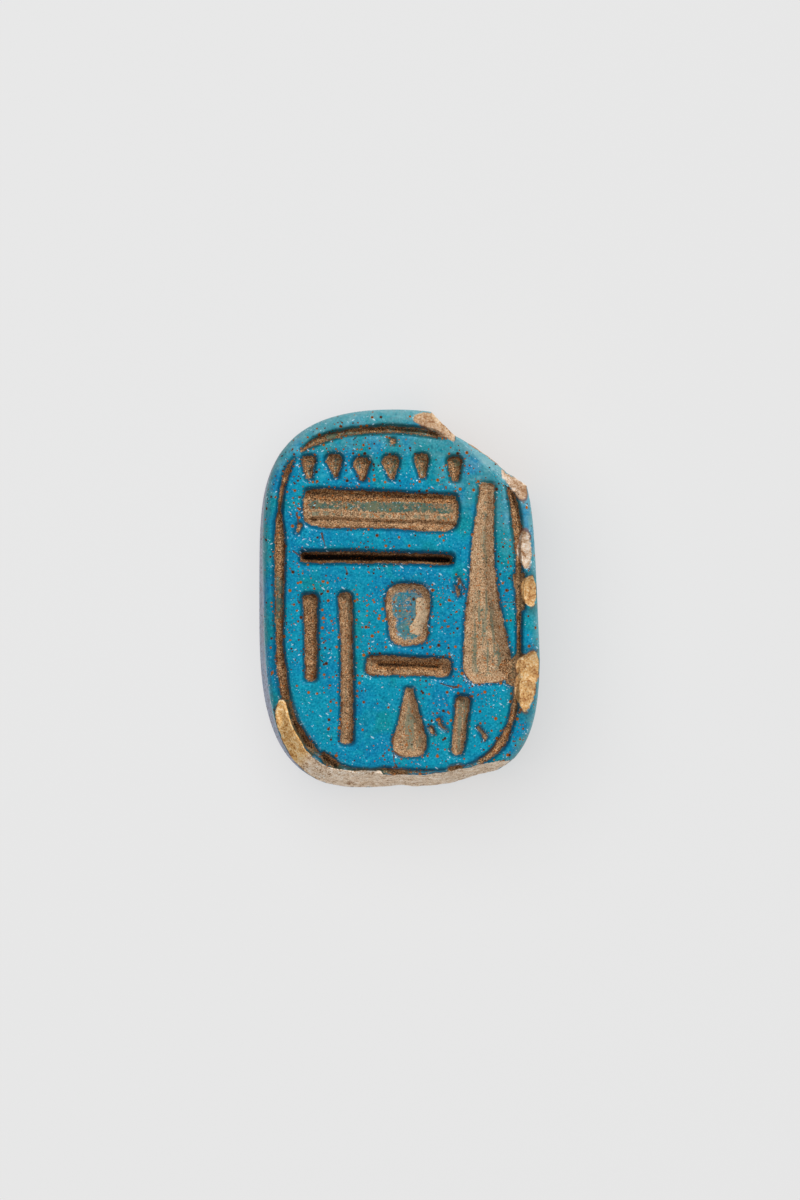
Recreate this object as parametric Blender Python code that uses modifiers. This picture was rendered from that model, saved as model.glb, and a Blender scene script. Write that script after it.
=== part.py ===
"""A small moulded faience plaque with a rounded outline, lying on its flat back.

The carved face looks up (+Z), the top edge of the face points to +Y, and the origin
is on the underside, under the middle of the plaque. Lengths are in metres, and MM
turns the millimetres that the sizes are written in into metres.
"""

import math

import bmesh
import bpy
from mathutils import Matrix, Vector, noise

MM = 0.001
WELD = 0.002 * MM

# Body --------------------------------------------------------------------------------

THICKNESS = 5.6 * MM
RIM_ROUND = 0.7 * MM            # rounded edge of the carved face
BASE_ROUND = 0.45 * MM          # rounded edge of the underside
RIM_STEPS = 4
OUTLINE_POINTS = 112

# The plan outline is four superellipse quarters that meet at the hub. Each quarter has an
# exponent along X and one along Y, keyed by the side of the hub that it lies on.
HUB = Vector((-0.17, -0.6)) * MM
OUTLINE = {
    "left": -7.08 * MM, "right": 7.08 * MM, "foot": -9.55 * MM, "head": 9.5 * MM,
    (-1, 1): (2.35, 4.70),
    (1, 1): (2.05, 5.20),
    (1, -1): (2.95, 4.23),
    (-1, -1): (3.60, 2.85),
}

# The left wall leans in towards the face, by more and more towards the foot. The whole right
# side draws in towards the head, above TAPER_START.
LEAN = 0.26 * MM
LEAN_GROWTH = 0.018
TAPER = 0.046
TAPER_START = -3.0 * MM

# Carving -----------------------------------------------------------------------------

# The border line has an outline of its own, cut in two runs with a gap at each end. The runs
# go from one direction to another, in degrees anticlockwise from +X about the hub.
BORDER = {
    "left": -6.02 * MM, "right": 6.00 * MM, "foot": -8.67 * MM, "head": 8.48 * MM,
    (-1, 1): (2.50, 6.95),
    (1, 1): (1.85, 4.95),
    (1, -1): (4.00, 3.75),
    (-1, -1): (2.95, 2.95),
}
BORDER_RUNS = ((72, 120.5), (124, 408))
BORDER_STEP = 5                 # degrees between the line's points
BORDER_WIDTH = 0.60 * MM
BORDER_NARROWING = 0.4          # the share that the line loses at BORDER_NARROWEST
BORDER_NARROWEST = 30           # degrees
BORDER_TIP = 0.4                # the share of its width that the line keeps at the end of a run
BORDER_DEPTH = 0.40 * MM

GROOVE_ROUNDNESS = 2            # sides of a groove's half section, less two
STROKE_STEPS = 11
STROKE_TIP = 0.14               # the share of its width that a stroke keeps at its very ends

# Plain strokes, in millimetres: start, end, width at the start and at the end, flare, depth and
# bend. A stroke widens evenly at flare 1 and late at more; its middle bends sideways.
STROKES = {
    "board": ((-4.85, 4.60), (3.00, 4.27), 2.10, 2.00, 1, 0.30, 0),
    "board_head": ((-4.70, 5.29), (2.85, 5.04), 0.62, 0.46, 1, 0.46, 0),
    "board_foot": ((-4.60, 3.96), (2.85, 3.72), 0.46, 0.42, 1, 0.50, 0),
    "long_thin": ((-4.95, 2.10), (2.75, 1.95), 0.76, 0.72, 1, 0.85, 0.03),
    "left_short": ((-4.47, 0.30), (-4.42, -4.10), 0.95, 0.68, 1, 0.50, 0.03),
    "left_long": ((-2.70, 0.30), (-2.62, -7.25), 0.81, 0.79, 1, 0.50, 0.05),
    "oval": ((0.46, 0.80), (0.46, -2.35), 2.45, 2.15, 1, 0.45, 0),
    "crossing": ((-1.66, -3.30), (2.58, -3.48), 1.15, 1.10, 1, 0.58, 0.04),
    "wedge": ((0.52, -4.40), (0.55, -7.90), 0.70, 2.00, 1.4, 0.50, 0),
    "tall_right": ((4.42, 5.85), (4.44, -4.25), 1.00, 2.65, 1.6, 0.60, -0.24),
    "foot_right": ((3.25, -4.85), (2.85, -7.85), 0.90, 0.77, 1, 0.50, 0.03),
}

# Above them is an uneven row of short dabs. The middle ones stand to the left of an even pitch.
DABS = 6
DAB_START = (-4.55, 7.20)
DAB_PITCH = 1.46
DAB_SHIFT = 0.28
DAB_REACH = (0.06, -1.22)
DAB_WIDTH, DAB_TIP, DAB_DEPTH = 0.97, 0.50, 0.46
DAB_UNEVEN_Y, DAB_UNEVEN_WIDTH = 0.08, 0.10
for number in range(DABS):
    x = DAB_START[0] + DAB_PITCH * number - DAB_SHIFT * math.sin(math.pi * number / (DABS - 1))
    y = DAB_START[1] + DAB_UNEVEN_Y * math.sin(2.1 * number)
    width = DAB_WIDTH + DAB_UNEVEN_WIDTH * math.sin(1.3 * number - 1)
    end = (x + DAB_REACH[0], y + DAB_REACH[1])
    STROKES[f"dab_{number}"] = ((x, y), end, width, DAB_TIP, 1, DAB_DEPTH, 0)

# Losses ------------------------------------------------------------------------------

LUMP_SIZE = 0.9 * MM            # width of the lumps on broken surfaces
BREAK_CELLS = (14, 8)
BREAK_REACH = 2.5 * MM          # how far a break's block stands out, past all that it takes
# Breaks: a plan line in millimetres, the height where the break passes through it, its slope in
# degrees from upright (positive where it faces up), its size down the slope, and its lumps. What
# lies to the right of the line, seen from its start, is lost. Two breaks meet in a notch at the head.
FULL_DEPTH = 12 * MM
BREAKS = {
    "foot": (((-7.10, -9.54), (3.40, -9.30)), 0.6 * MM, 7, FULL_DEPTH, 0.10 * MM),
    "foot_corner": (((0.25, -9.82), (7.15, -8.10)), 0.6 * MM, 6, FULL_DEPTH, 0.10 * MM),
    "head_right": (((8.60, 4.23), (2.78, 8.21)), THICKNESS, -3, FULL_DEPTH, 0.06 * MM),
    "head_top": (((2.86, 8.14), (0.15, 10.93)), THICKNESS, -2, FULL_DEPTH, 0.06 * MM),
    "head_lip": (((5.10, 6.25), (2.90, 7.75)), THICKNESS, 48, 1.6 * MM, 0.0),
    "head_facet": (((2.80, 7.94), (0.40, 9.25)), THICKNESS - 0.12 * MM, 58, 3.0 * MM, 0.05 * MM),
    "corner": (((7.00, 4.24), (5.10, 6.37)), THICKNESS - 0.30 * MM, 50, 2.4 * MM, 0.05 * MM),
}

# Chips in the right rim, in millimetres: a place (x, y, height above the face) and three radii.
RIM_CHIPS = {
    "pale": ((6.40, 2.46, -0.06), (0.44, 1.10, 0.38)),
    "middle": ((6.92, 0.40, 0.04), (0.84, 0.90, 0.64)),
    "low_upper": ((6.98, -3.50, 0.06), (1.18, 1.06, 0.68)),
    "low_foot": ((6.50, -4.56, 0.02), (0.72, 1.16, 0.42)),
}
CHIP_LUMPS = 0.13
CHIP_LUMP_COUNT = 2.2           # lumps along a chip's radius
CHIP_CELLS = (18, 12)

# The long chip follows the lower left rim. Its hollow is a tube whose axis stands off the rim and
# lifts above the face: out, up and radius where the chip starts and, past its bend, to its end.
LONG_CHIP_RUN = (216, 268)
LONG_CHIP_START = Vector((-0.46, 0.08, 0.53)) * MM
LONG_CHIP_END = Vector((1.34, 0.99, 2.60)) * MM
LONG_CHIP_BEND = (219, 238)
LONG_CHIP_TIP = 0.12 * MM       # radius at the very start
LONG_CHIP_OPENING = (-1, 3)     # the stations between which the radius grows from that
LONG_CHIP_STATIONS = 22
LONG_CHIP_SIDES = 26
LONG_CHIP_LUMPS = 0.07 * MM


# Shapes worked out from the sizes ----------------------------------------------------

def outline_point(outline, direction):
    """The outline's point in a direction (radians) from the hub, found by halving a ray."""
    ray = Vector((math.cos(direction), math.sin(direction)))
    side = (1 if ray.x >= 0 else -1, 1 if ray.y >= 0 else -1)
    power_x, power_y = outline[side]
    reach_x = abs(outline["right" if ray.x >= 0 else "left"] - HUB.x)
    reach_y = abs(outline["head" if ray.y >= 0 else "foot"] - HUB.y)
    near, far = 0.0, 2 * max(reach_x, reach_y)
    while far - near > 1e-6 * MM:
        middle = (near + far) / 2
        across, along = middle * abs(ray.x) / reach_x, middle * abs(ray.y) / reach_y
        if across ** power_x + along ** power_y > 1:
            far = middle
        else:
            near = middle
    return HUB + ray * near


def evenly_spaced(path, count):
    """Points at equal distances along a path, from its first point to its last."""
    lengths = [0.0]
    for start, end in zip(path, path[1:]):
        lengths.append(lengths[-1] + (end - start).length)
    spaced = []
    leg = 0
    for index in range(count):
        wanted = lengths[-1] * index / (count - 1)
        while leg < len(path) - 2 and lengths[leg + 1] < wanted:
            leg += 1
        share = (wanted - lengths[leg]) / (lengths[leg + 1] - lengths[leg])
        spaced.append(path[leg].lerp(path[leg + 1], share))
    return spaced


def arc_points(point_at, start, end, count):
    """Evenly spaced points of an outline between two directions in degrees."""
    fine = 1440
    path = [point_at(math.radians(start + (end - start) * i / fine)) for i in range(fine + 1)]
    return evenly_spaced(path, count)


def rim_point(direction):
    return outline_point(OUTLINE, direction)


def lean(point):
    """How far the top of the wall stands inside its foot, at a plan position."""
    share = max(0.0, (HUB.x - point.x) / (HUB.x - OUTLINE["left"]))
    return share ** 2 * max(0.0, LEAN - LEAN_GROWTH * point.y)


def taper(point):
    """How far the whole wall is drawn in on the right, at a plan position."""
    share = max(0.0, (point.x - HUB.x) / (OUTLINE["right"] - HUB.x))
    return share ** 2 * TAPER * max(0.0, point.y - TAPER_START)


def wall_top_point(direction):
    rim = rim_point(direction)
    return rim + Vector((lean(rim) - taper(rim), 0))


def smooth_step(value, low, high):
    share = min(1.0, max(0.0, (value - low) / (high - low)))
    return share * share * (3 - 2 * share)


def lump(place, seed):
    """A smooth bump between about -1 and 1 at a place, a different one for each seed."""
    return noise.noise(place + Vector((seed, 0, 0)))


# Building blocks ---------------------------------------------------------------------

def add_object(name, mesh, collection):
    made = bpy.data.objects.new(name, mesh)
    collection.objects.link(made)
    return made


def cut(target, name, mesh, cutters, placement):
    """Take a closed mesh, moved by a placement matrix, out of the target.

    The losses cross each other and the border at the rim, where the exact solver leaves a few
    edges open, so every cut uses the manifold solver.
    """
    cutter = add_object(f"cut_{name}", mesh, cutters)
    cutter.matrix_world = placement
    cutter.hide_render = True
    cutter.display_type = 'WIRE'
    carving = target.modifiers.new(cutter.name, 'BOOLEAN')
    carving.operation = 'DIFFERENCE'
    carving.solver = 'MANIFOLD'
    carving.object = cutter


def mesh_from_curve(curve, collection):
    """A closed mesh from a curve, with its caps welded on."""
    guide = add_object("guide", curve, collection)
    depsgraph = bpy.context.evaluated_depsgraph_get()
    mesh = bpy.data.meshes.new_from_object(guide.evaluated_get(depsgraph))
    bpy.data.objects.remove(guide)
    body = bmesh.new()
    body.from_mesh(mesh)
    bmesh.ops.remove_doubles(body, verts=body.verts, dist=WELD)
    bmesh.ops.recalc_face_normals(body, faces=body.faces)
    body.to_mesh(mesh)
    body.free()
    return mesh


def poly_curve(name, points, radii):
    """A curve through points that lie in the plan, with a radius at each."""
    curve = bpy.data.curves.new(name, 'CURVE')
    spline = curve.splines.new('POLY')
    spline.points.add(len(points) - 1)
    for knot, point, radius in zip(spline.points, points, radii):
        knot.co = (point.x, point.y, 0, 1)
        knot.radius = radius
    return curve


def slab_mesh(name, points, height, collection):
    """A closed outline given a height, centred on z = 0."""
    curve = poly_curve(name, points, [1] * len(points))
    curve.splines[0].use_cyclic_u = True
    curve.dimensions = '2D'
    curve.fill_mode = 'BOTH'
    curve.extrude = height / 2
    return mesh_from_curve(curve, collection)


def groove_mesh(name, points, half_widths, depth, collection):
    """A rounded bar along the points, flattened so that its lower side sinks to a depth."""
    widest = max(half_widths)
    curve = poly_curve(name, points, [half_width / widest for half_width in half_widths])
    curve.dimensions = '3D'
    curve.bevel_depth = widest
    curve.bevel_resolution = GROOVE_ROUNDNESS
    curve.use_fill_caps = True
    mesh = mesh_from_curve(curve, collection)
    mesh.transform(Matrix.Diagonal((1, 1, depth / widest, 1)))
    return mesh


def rough_block_mesh(name, length, depth, lumps, seed):
    """A block above z = 0 whose lower face is lumpy, like a break."""
    body = bmesh.new()
    bmesh.ops.create_grid(body, x_segments=BREAK_CELLS[0], y_segments=BREAK_CELLS[1], size=0.5)
    bmesh.ops.scale(body, verts=body.verts, vec=(length, depth, 1))
    broken = list(body.verts)
    raised = bmesh.ops.extrude_face_region(body, geom=body.faces[:])["geom"]
    lid = [part for part in raised if isinstance(part, bmesh.types.BMVert)]
    bmesh.ops.translate(body, verts=lid, vec=(0, 0, BREAK_REACH))
    for corner in broken:
        corner.co.z = lumps * lump(corner.co / LUMP_SIZE, seed)
    bmesh.ops.recalc_face_normals(body, faces=body.faces)
    mesh = bpy.data.meshes.new(name)
    body.to_mesh(mesh)
    body.free()
    return mesh


def scoop_mesh(name, radii, seed):
    """A lumpy ball that takes a shallow chip out of an edge."""
    body = bmesh.new()
    bmesh.ops.create_uvsphere(body, u_segments=CHIP_CELLS[0], v_segments=CHIP_CELLS[1], radius=1)
    for corner in body.verts:
        corner.co *= 1 + CHIP_LUMPS * lump(CHIP_LUMP_COUNT * corner.co, seed)
    bmesh.ops.scale(body, verts=body.verts, vec=radii)
    mesh = bpy.data.meshes.new(name)
    body.to_mesh(mesh)
    body.free()
    return mesh


def tube_mesh(name, rings):
    """A closed mesh through rings of equally many points, capped at both ends."""
    body = bmesh.new()
    rings = [[body.verts.new(point) for point in ring] for ring in rings]
    for ring, following in zip(rings, rings[1:]):
        for index in range(len(ring)):
            body.faces.new((ring[index - 1], ring[index], following[index], following[index - 1]))
    body.faces.new(rings[0])
    body.faces.new(rings[-1])
    bmesh.ops.recalc_face_normals(body, faces=body.faces)
    mesh = bpy.data.meshes.new(name)
    body.to_mesh(mesh)
    body.free()
    return mesh


def glazed_faience():
    """Bright turquoise glass over a fine buff core."""
    material = bpy.data.materials.new("glazed_faience")
    material.use_nodes = True
    shader = material.node_tree.nodes["Principled BSDF"]
    shader.inputs["Base Color"].default_value = (0.010, 0.246, 0.356, 1)
    shader.inputs["Roughness"].default_value = 0.3
    shader.inputs["Metallic"].default_value = 0
    return material


# The plaque --------------------------------------------------------------------------

def blank(collection):
    """The uncarved plaque: its outline given a thickness, leaning in at the left, edges rounded."""
    outline = arc_points(rim_point, 0, 360, OUTLINE_POINTS + 1)[:-1]
    mesh = slab_mesh("plaque", outline, THICKNESS, collection)
    body = bmesh.new()
    body.from_mesh(mesh)
    for side in (-1, 1):
        cap = [face for face in body.faces if face.normal.z * side > 0.5]
        bmesh.ops.dissolve_faces(body, faces=cap)
    weights = body.edges.layers.float.new("bevel_weight_edge")
    for edge in body.edges:
        heights = [corner.co.z for corner in edge.verts]
        if min(heights) > 0:
            edge[weights] = 1.0
        elif max(heights) < 0:
            edge[weights] = BASE_ROUND / RIM_ROUND
    for corner in body.verts:
        shift = -taper(corner.co)
        if corner.co.z > 0:
            shift += lean(corner.co)
        corner.co.x += shift
    bmesh.ops.translate(body, verts=body.verts, vec=(0, 0, THICKNESS / 2))
    bmesh.ops.recalc_face_normals(body, faces=body.faces)
    body.to_mesh(mesh)
    body.free()
    made = add_object("plaque", mesh, collection)
    rounding = made.modifiers.new("rounded_edges", 'BEVEL')
    rounding.limit_method = 'WEIGHT'
    rounding.width = RIM_ROUND
    rounding.segments = RIM_STEPS
    return made


def cut_groove(plaque, cutters, name, points, half_widths, depth):
    mesh = groove_mesh(name, points, half_widths, depth, cutters)
    cut(plaque, name, mesh, cutters, Matrix.Translation((0, 0, THICKNESS)))


def border(plaque, cutters):
    """The incised line that frames the face, in separate runs that thin out at their ends."""
    for number, (start, end) in enumerate(BORDER_RUNS):
        count = round((end - start) / BORDER_STEP)
        points = arc_points(lambda direction: outline_point(BORDER, direction), start, end, count)
        half_widths = []
        for point in points:
            turn = math.atan2(point.y - HUB.y, point.x - HUB.x) - math.radians(BORDER_NARROWEST)
            half_widths.append(BORDER_WIDTH / 2 * (1 - BORDER_NARROWING * max(0.0, math.cos(turn))))
        half_widths[0] *= BORDER_TIP
        half_widths[-1] *= BORDER_TIP
        cut_groove(plaque, cutters, f"border_{number}", points, half_widths, BORDER_DEPTH)


def stroke(plaque, cutters, name, start, end, width_start, width_end, flare, depth, bend):
    """One shallow stroke with rounded ends, given in millimetres."""
    start, end = Vector(start), Vector(end)
    length = (end - start).length
    side = (end - start).orthogonal().normalized()
    points, half_widths = [], []
    for step in range(STROKE_STEPS):
        share = (1 - math.cos(math.pi * step / (STROKE_STEPS - 1))) / 2
        half_width = (width_start + (width_end - width_start) * share ** flare) / 2
        to_end = min(share, 1 - share) * length / half_width
        rounding = math.sqrt(max(STROKE_TIP ** 2, 1 - max(0.0, 1 - to_end) ** 2))
        points.append((start.lerp(end, share) + side * bend * 4 * share * (1 - share)) * MM)
        half_widths.append(half_width * rounding * MM)
    cut_groove(plaque, cutters, name, points, half_widths, depth * MM)


def strokes(plaque, cutters):
    """A row of dabs and plain strokes: they fill the face as carving does, and spell nothing."""
    for name, sizes in STROKES.items():
        stroke(plaque, cutters, name, *sizes)


def breaks(plaque, cutters):
    """The lost foot and the lost upper right corner, one rough block for each break."""
    for seed, (name, (line, height, slope, depth, lumps)) in enumerate(BREAKS.items()):
        start, end = (Vector(point) * MM for point in line)
        along = end - start
        mesh = rough_block_mesh(name, along.length, depth, lumps, seed)
        # The block's own X runs along the line and its own Z points out of the plaque.
        heading = Matrix.Rotation(math.atan2(along.y, along.x), 4, 'Z')
        tilt = Matrix.Rotation(math.radians(90 - slope), 4, 'X')
        middle = Matrix.Translation(((start + end) / 2).to_3d() + Vector((0, 0, height)))
        cut(plaque, name, mesh, cutters, middle @ heading @ tilt)


def rim_chips(plaque, cutters):
    for seed, (name, ((x, y, rise), radii)) in enumerate(RIM_CHIPS.items()):
        mesh = scoop_mesh(name, [radius * MM for radius in radii], seed)
        place = Matrix.Translation((x * MM, y * MM, THICKNESS + rise * MM))
        cut(plaque, f"chip_{name}", mesh, cutters, place)


def long_chip(plaque, cutters):
    """The chip that runs along the lower left rim, wider and wider down to the broken foot."""
    path = arc_points(wall_top_point, *LONG_CHIP_RUN, LONG_CHIP_STATIONS)
    rings = []
    for index, point in enumerate(path):
        before, after = path[max(0, index - 1)], path[min(len(path) - 1, index + 1)]
        outwards = Vector((after.y - before.y, before.x - after.x)).normalized()
        direction = math.degrees(math.atan2(point.y - HUB.y, point.x - HUB.x)) % 360
        bend = smooth_step(direction, *LONG_CHIP_BEND)
        out, up, radius = LONG_CHIP_START.lerp(LONG_CHIP_END, bend)
        radius = LONG_CHIP_TIP + (radius - LONG_CHIP_TIP) * smooth_step(index, *LONG_CHIP_OPENING)
        ring = []
        for side in range(LONG_CHIP_SIDES):
            turn = math.tau * side / LONG_CHIP_SIDES
            level = point + outwards * (out + radius * math.cos(turn))
            place = level.to_3d() + Vector((0, 0, THICKNESS + up + radius * math.sin(turn)))
            ring.append(place + outwards.to_3d() * LONG_CHIP_LUMPS * lump(place / LUMP_SIZE, len(BREAKS)))
        rings.append(ring)
    cut(plaque, "long_chip", tube_mesh("long_chip", rings), cutters, Matrix.Identity(4))


def main():
    for old in list(bpy.data.objects):
        bpy.data.objects.remove(old)
    parts = bpy.data.collections.new("faience_plaque")
    cutters = bpy.data.collections.new("cutters")
    for collection in (parts, cutters):
        bpy.context.scene.collection.children.link(collection)
    plaque = blank(parts)
    plaque.data.materials.append(glazed_faience())
    breaks(plaque, cutters)
    rim_chips(plaque, cutters)
    long_chip(plaque, cutters)
    border(plaque, cutters)
    strokes(plaque, cutters)


main()
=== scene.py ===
"""The looks of the faience plaque: one fine mesh of its glazed, carved and broken surface.

The plaque lies on its flat back, the carved face up (+Z) and the head of the face towards +Y.
Shapes are worked out in millimetres, from the CAD node's box, and written to the mesh in metres.
"""
import math
from collections import namedtuple

import bpy
import numpy as np
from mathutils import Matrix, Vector


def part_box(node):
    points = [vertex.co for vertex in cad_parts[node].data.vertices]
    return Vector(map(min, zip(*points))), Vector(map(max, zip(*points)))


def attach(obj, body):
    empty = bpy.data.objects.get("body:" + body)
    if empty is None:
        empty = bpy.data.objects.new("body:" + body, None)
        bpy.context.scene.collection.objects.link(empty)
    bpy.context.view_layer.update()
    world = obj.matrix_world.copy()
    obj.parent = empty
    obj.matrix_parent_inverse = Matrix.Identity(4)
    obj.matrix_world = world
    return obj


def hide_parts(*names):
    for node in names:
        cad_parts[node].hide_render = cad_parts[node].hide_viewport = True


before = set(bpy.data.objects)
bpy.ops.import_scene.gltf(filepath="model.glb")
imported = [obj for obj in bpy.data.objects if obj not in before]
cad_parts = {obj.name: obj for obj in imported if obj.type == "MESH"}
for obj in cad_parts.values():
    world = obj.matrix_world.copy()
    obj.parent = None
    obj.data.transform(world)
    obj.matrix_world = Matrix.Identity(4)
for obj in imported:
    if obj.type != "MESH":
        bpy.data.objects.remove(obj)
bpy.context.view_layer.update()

MM = 0.001

# Sizes of the body, in millimetres ------------------------------------

LOW, HIGH = (np.array(corner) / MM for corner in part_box("plaque"))
TOP = HIGH[2]
HUB = np.array([-0.17, -0.6])
FOOT_LOSS = 0.09                # what the break took off the foot's own outline
OUTLINE = {
    "left": LOW[0], "right": HIGH[0], "foot": LOW[1] - FOOT_LOSS, "head": HIGH[1],
    (-1, 1): (2.35, 4.70),
    (1, 1): (2.05, 5.20),
    (1, -1): (2.95, 4.23),
    (-1, -1): (3.60, 2.85),
}
LEAN = 0.26                     # the left wall leans in, by more and more towards the foot
LEAN_GROWTH = 0.018
TAPER = 0.046                   # the right side draws in towards the head, above TAPER_START
TAPER_START = -3.0
RIM_ROUND = 0.7
BASE_ROUND = 0.45
CROWN = 0.16                    # how far the face falls from its middle to its edges
FACE_DROP = 0.03                # the face's middle, below the top of the CAD node's box
WALL_HOLLOW = 0.01
# Ripples are lumps upon lumps: the height, size and seed of each.
GLAZE_RIPPLES = ((0.018, 2.2, 1), (0.008, 0.7, 2), (0.004, 0.26, 3))
WALL_RIPPLES = ((0.03, 2.5, 31), (0.010, 0.6, 32))

# Carving, in millimetres ----------------------------------------------

BORDER = {
    "left": -6.02, "right": 6.00, "foot": -8.67, "head": 8.48,
    (-1, 1): (2.5, 6.95),
    (1, 1): (1.85, 4.95),
    (1, -1): (4.0, 3.75),
    (-1, -1): (2.95, 2.95),
}
BORDER_RUNS = ((72, 122), (121.5, 410))
BORDER_HALF_WIDTH = 0.28        # less on the right, at the head and at the foot
BORDER_DEPTH = 0.40
BORDER_WALL = 0.16
# Where the line changes: on the right, at the head, at the foot, at the upper left, at the chips.
BORDER_TURNS = (-12, 82, 272, 129, 12)
GLAZED_WALL = 0.20              # the glazed slope outside the earth in a stroke
NICK_WALL = 0.06
EDGE_RIPPLES = ((0.04, 0.9, 5), (0.012, 0.3, 6))
FLOOR_RIPPLES = ((0.022, 0.3, 14), (0.016, 0.14, 15))
SHOULDER = 0.45                 # how far the pressed edge of a stroke dips outside it
SHOULDER_DROP = 0.04
CARVING_FADE = 0.4              # the carving runs out over this height below the rounded rim

# A stroke runs from start to end and bends sideways in its middle. Its wall is the slope inside its
# edge: half the width makes a V. The earth on its floor is brown at pale 0 and tan at 1. Below 0 it
# darkens to painted shade, black at -1, and above 1 it pales to a painted cream highlight at 2.
# glazed is how far the glaze shows through it. It widens late at a flare above 1.
Stroke = namedtuple(
    "Stroke", "start end width_start width_end depth wall bend pale glazed flare", defaults=(0, 1))
STROKES = {
    "board": Stroke((-4.85, 4.60), (3.00, 4.27), 1.95, 1.85, 0.30, 0.20, 0.0, 0.4, 0.66),
    "board_low": Stroke((-4.70, 4.28), (2.85, 4.00), 0.40, 0.42, 0.32, 0.20, 0.0, 0.65, 0.2),
    # board_head, long_thin and crossing_line have a negative pale: painted shade in their deep grooves.
    "board_head": Stroke((-4.72, 5.28), (2.88, 5.02), 0.50, 0.36, 0.44, 0.25, 0.0, -0.45),
    "board_foot": Stroke((-4.60, 3.96), (2.85, 3.72), 0.36, 0.32, 0.50, 0.17, 0.02, 0.45),
    "long_thin": Stroke((-4.95, 2.10), (2.75, 1.95), 0.62, 0.58, 0.85, 0.30, 0.03, -0.9),
    "left_short": Stroke((-4.47, 0.30), (-4.42, -4.10), 0.80, 0.52, 0.50, 0.24, 0.03, 0.3),
    "left_long": Stroke((-2.70, 0.30), (-2.62, -7.25), 0.66, 0.64, 0.50, 0.26, 0.05, 0.5),
    "oval": Stroke((0.46, 0.80), (0.46, -2.35), 2.30, 2.00, 0.45, 0.50, 0.0, 0.6, 0.78),
    # oval_right's pale of 1.5 paints a cream highlight on the right of the oval's floor.
    "oval_right": Stroke((1.10, 0.05), (0.82, -1.68), 0.46, 0.54, 0.38, 0.18, 0.17, 1.5),
    "crossing": Stroke((-1.66, -3.30), (2.58, -3.48), 1.00, 0.95, 0.58, 0.42, 0.04, 0.45, 0.1),
    "crossing_line": Stroke((-1.10, -3.31), (2.05, -3.42), 0.30, 0.26, 0.70, 0.16, 0.03, -0.6),
    "wedge": Stroke((0.52, -4.40), (0.55, -7.90), 0.55, 1.85, 0.50, 0.50, 0.0, 0.65, 0.2, 1.4),
    "tall_right": Stroke((4.42, 5.85), (4.44, -4.25), 0.85, 2.50, 0.60, 0.80, -0.24, 0.9, 0.35, 1.6),
    "foot_right": Stroke((3.25, -4.85), (2.85, -7.85), 0.75, 0.62, 0.50, 0.24, 0.03, 0.65),
}
DABS = 6
for number in range(DABS):
    x = -4.55 + 1.46 * number - 0.28 * math.sin(math.pi * number / (DABS - 1))
    y, width = 7.20 + 0.08 * math.sin(2.1 * number), 0.82 + 0.10 * math.sin(1.3 * number - 1)
    STROKES[f"dab_{number}"] = Stroke((x, y), (x + 0.06, y - 1.22), width, 0.36, 0.46, 0.30, 0.0, 0.3, 0.5)

# Damage, in millimetres -----------------------------------------------

# Nicks and a crumbled patch: shallow losses with earth in them, like strokes.
NICKS = (
    Stroke((5.10, -3.20), (6.45, -3.80), 0.80, 1.70, 0.22, 0.14, 0.10, 0.3),
    Stroke((6.02, 1.35), (6.10, -0.60), 0.60, 0.40, 0.26, 0.14, 0.04, 0.4),
    Stroke((1.48, -6.38), (1.80, -6.86), 0.34, 0.28, 0.14, 0.10, 0.0, 0.6),
    Stroke((1.95, -6.02), (2.42, -6.60), 0.22, 0.12, 0.12, 0.10, -0.08, 0.5),
    Stroke((3.92, -6.36), (4.36, -6.98), 0.15, 0.20, 0.10, 0.08, 0.02, 0.6),
    Stroke((2.96, 1.05), (3.26, 0.44), 0.07, 0.11, 0.10, 0.06, 0.04, 0.5),
    Stroke((2.90, 0.66), (3.02, 0.16), 0.08, 0.08, 0.10, 0.06, 0.0, 0.5),
    Stroke((-0.34, 8.02), (-0.28, 7.78), 0.20, 0.18, 0.10, 0.08, 0.0, 0.5),
    Stroke((-5.10, 3.30), (-4.90, 3.85), 0.22, 0.34, 0.12, 0.10, 0.0, 0.4),
)
# Hair cracks with brown in them, as plan lines.
CRACKS = (
    ((5.20, -0.14), (5.80, -0.18)), ((6.55, -0.34), (7.05, -0.28)), ((2.10, -4.22), (2.95, -4.44)),
    ((-3.88, 3.30), (-3.74, 2.62)), ((-2.72, 1.62), (-2.58, 1.24)), ((-5.12, 4.30), (-5.02, 3.70)),
    ((-5.28, 2.42), (-4.96, 2.12)), ((-0.30, -7.76), (-0.12, -8.44)),
)

# Losses, in millimetres -----------------------------------------------

# Breaks through the whole thickness: a plan line, the height where the break passes through
# it, its slope in degrees from upright, and its roughness. What lies to the right of the line
# is lost: at the foot past either break, at the head only past both, which meet in a notch.
FOOT_BREAKS = (
    (((-5.60, -9.50), (1.90, -9.34)), 0.6, 7, 0.10),
    (((1.70, -9.46), (5.70, -8.46)), 0.6, 6, 0.10),
)
HEAD_LIP = (((7.40, 5.05), (2.40, 8.47)), TOP, -3, 0.06)
HEAD_BREAK = (((2.95, 8.05), (1.20, 9.85)), TOP, -2, 0.06)
HEAD_NOTCH_X = 2.75
LIP_ROUND = 0.6                 # the lip is an old loss, rounded and glazed over
LIP_BULGE = (4.1, 1.3, 0.13)    # the middle of its bulge along X, half its length, and how far
# Facets: a break like those, kept to one side of an x.
FACETS = {
    "head": ((((2.40, 8.16), (1.00, 8.92)), TOP - 0.12, 58, 0.05), -1, 2.80),
    "corner": ((((6.34, 4.98), (4.98, 6.50)), TOP - 0.30, 50, 0.05), 1, 5.10),
}
# Chips in the right rim: a place (x, y, height above the face) and three radii.
RIM_CHIPS = {
    "pale": ((6.40, 2.46, -0.06), (0.44, 1.10, 0.38)),
    "middle": ((6.92, 0.40, 0.04), (0.84, 0.90, 0.64)),
    "low_upper": ((6.98, -3.50, 0.06), (1.18, 1.06, 0.68)),
    "low_foot": ((6.50, -4.56, 0.02), (0.72, 1.16, 0.42)),
}
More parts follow.
